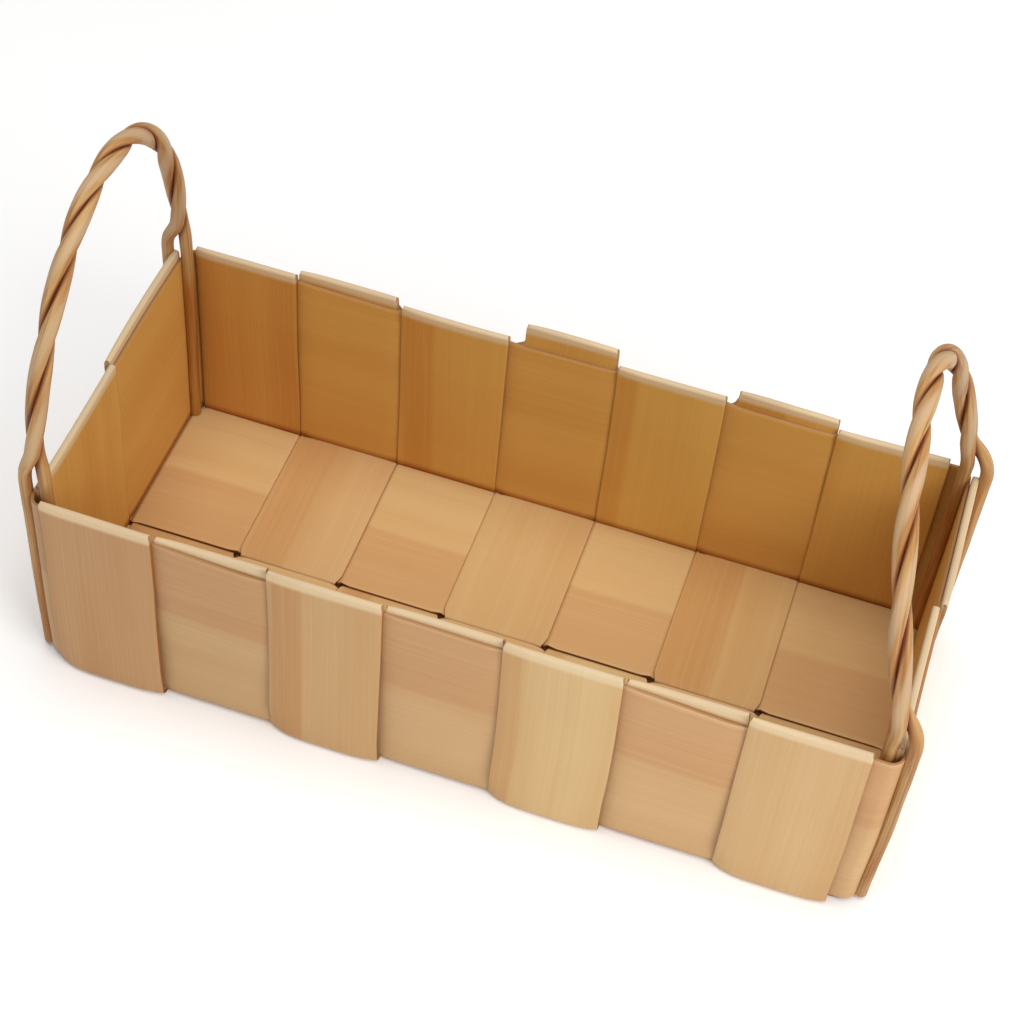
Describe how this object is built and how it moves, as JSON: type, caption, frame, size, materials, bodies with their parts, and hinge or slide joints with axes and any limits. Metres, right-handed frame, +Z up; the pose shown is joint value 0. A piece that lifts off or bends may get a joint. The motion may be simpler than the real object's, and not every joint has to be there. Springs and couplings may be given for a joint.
{
  "type": "splint basket",
  "caption": "Long low basket of wide woven pine splints with a folded rim and a stiff bow handle of twisted willow rods at each end.",
  "frame": {"origin": "on the floor under the middle of the basket", "axes": "+X along the basket from the left handle to the right handle, +Y from the front wall to the back wall, +Z up"},
  "size_m": [0.422, 0.1834, 0.2542],
  "materials": {
    "splint": "bare split pine",
    "band": "bare split pine",
    "willow": "bare peeled willow"
  },
  "bodies": {
    "root": {"cross_splint_1": "splint", "cross_splint_2": "splint", "cross_splint_3": "splint", "cross_splint_4": "splint", "cross_splint_5": "splint", "cross_splint_6": "splint", "cross_splint_7": "splint", "long_splint_front": "splint", "long_splint_back": "splint", "wall_band": "band", "left_handle_inner_rod": "willow", "left_handle_outer_rod": "willow", "right_handle_inner_rod": "willow", "right_handle_outer_rod": "willow"}
  },
  "joints": []
}
